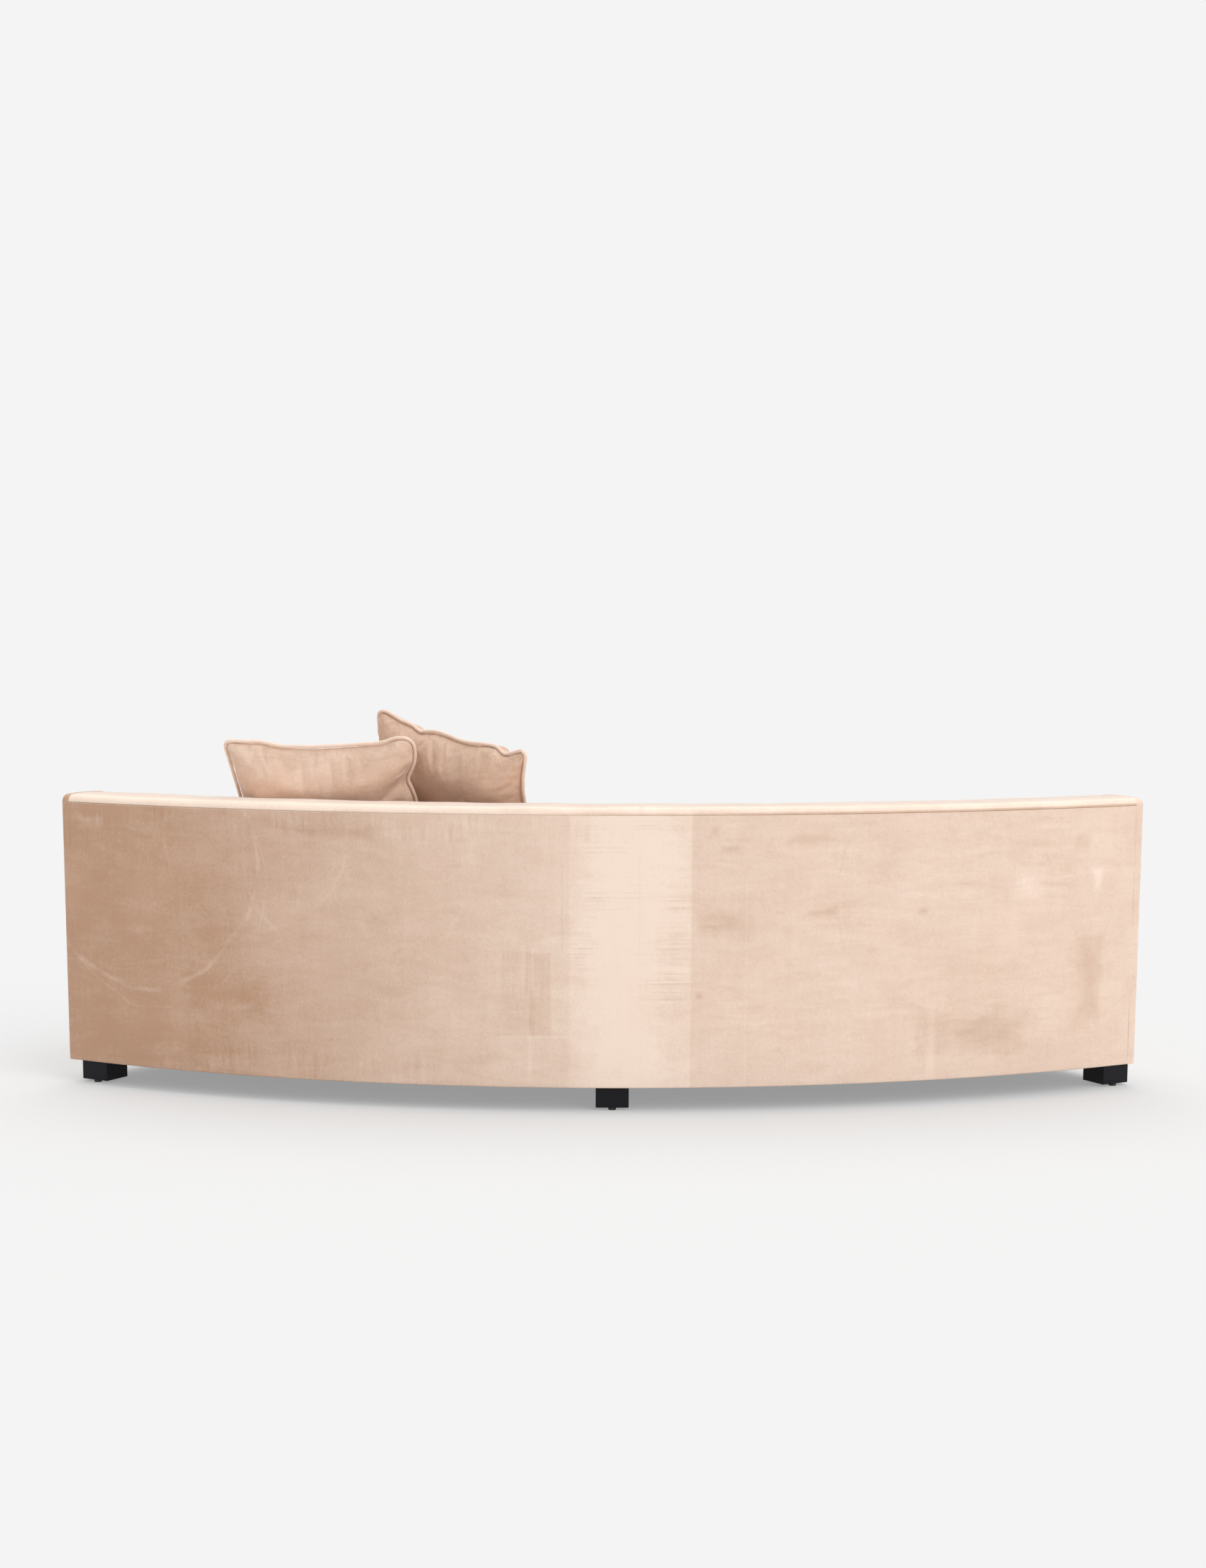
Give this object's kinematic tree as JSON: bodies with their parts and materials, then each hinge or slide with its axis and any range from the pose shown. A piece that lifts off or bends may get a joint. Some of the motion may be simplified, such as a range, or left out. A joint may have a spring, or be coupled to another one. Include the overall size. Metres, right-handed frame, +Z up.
{
  "type": "curved sofa",
  "caption": "Armless curved sofa with a tight upholstered back that follows the arc, loose seat cushions, two throw pillows and square block feet.",
  "frame": {"origin": "middle of the footprint, on the floor", "axes": "+Z up, +Y towards the outside of the back, the seat faces -Y, +X towards the sitter's left"},
  "size_m": [2.8402, 1.1594, 0.999],
  "materials": {
    "velvet": "plain cut velvet, blush tan, soft nap",
    "pillow_velvet": "plain cut velvet, blush tan, a shade warmer",
    "plywood": "sanded birch plywood, unfinished",
    "black_wood": "black satin lacquer on hardwood",
    "glide_plastic": "moulded black nylon on a steel nail",
    "bolt_steel": "zinc plated",
    "spring_steel": "drawn spring wire",
    "webbing": "elastic webbing, ribbed",
    "wadding": "bonded polyester wadding",
    "foam": "open-cell seat foam",
    "fibre_fill": "fibre filling in its casing",
    "platform_cloth": "plain woven platform cloth",
    "dust_cloth": "black spunbonded dust cloth",
    "zip_nylon": "nylon coil zip on tape"
  },
  "bodies": {
    "sofa_frame": {"back_posts": "plywood", "back_top_plate": "plywood", "back_webbing": "webbing", "base_back_plate": "plywood", "base_front_plate": "plywood", "cross_rails": "plywood", "deck_cover": "platform_cloth", "deck_foam": "foam", "dust_cover": "dust_cloth", "end_board_left": "plywood", "end_board_right": "plywood", "end_cover_left": "velvet", "end_cover_right": "velvet", "end_wadding_left": "wadding", "end_wadding_right": "wadding", "foot_front_left": "black_wood", "foot_front_middle": "black_wood", "foot_front_right": "black_wood", "foot_glides": "glide_plastic", "foot_rear_left": "black_wood", "foot_rear_middle": "black_wood", "foot_rear_right": "black_wood", "front_band_cover": "velvet", "front_edge_foam": "foam", "front_rail": "plywood", "hanger_bolts": "bolt_steel", "inside_back_cover_left": "velvet", "inside_back_cover_right": "velvet", "inside_back_foam": "foam", "outside_back_board": "plywood", "outside_back_cover_left": "velvet", "outside_back_cover_right": "velvet", "outside_back_wadding": "wadding", "rear_seat_rail": "plywood", "seat_springs": "spring_steel", "spring_clips": "spring_steel", "spring_insulator": "wadding", "tee_nuts": "bolt_steel", "top_band_left": "velvet", "top_band_right": "velvet", "top_foam": "foam"},
    "seat_cushion_left": {"seat_cushion_left_cover": "velvet", "seat_cushion_left_foam": "foam", "seat_cushion_left_zip": "zip_nylon"},
    "seat_cushion_right": {"seat_cushion_right_cover": "velvet", "seat_cushion_right_foam": "foam", "seat_cushion_right_zip": "zip_nylon"},
    "pillow_left": {"pillow_left_cover": "pillow_velvet", "pillow_left_insert": "fibre_fill", "pillow_left_piping": "pillow_velvet"},
    "pillow_right": {"pillow_right_cover": "pillow_velvet", "pillow_right_insert": "fibre_fill", "pillow_right_piping": "pillow_velvet"}
  },
  "joints": [
    {"name": "seat_cushion_left_lift", "type": "slide", "parent": "sofa_frame", "child": "seat_cushion_left", "axis": [0, 0, 1], "range_m": [0, 0.5]},
    {"name": "seat_cushion_right_lift", "type": "slide", "parent": "sofa_frame", "child": "seat_cushion_right", "axis": [0, 0, 1], "range_m": [0, 0.5]},
    {"name": "pillow_left_lift", "type": "slide", "parent": "seat_cushion_left", "child": "pillow_left", "axis": [0.18, 0.3851, 0.9052], "range_m": [0, 0.5]},
    {"name": "pillow_right_lift", "type": "slide", "parent": "seat_cushion_left", "child": "pillow_right", "axis": [0, 0, 1], "range_m": [0, 0.5]}
  ]
}
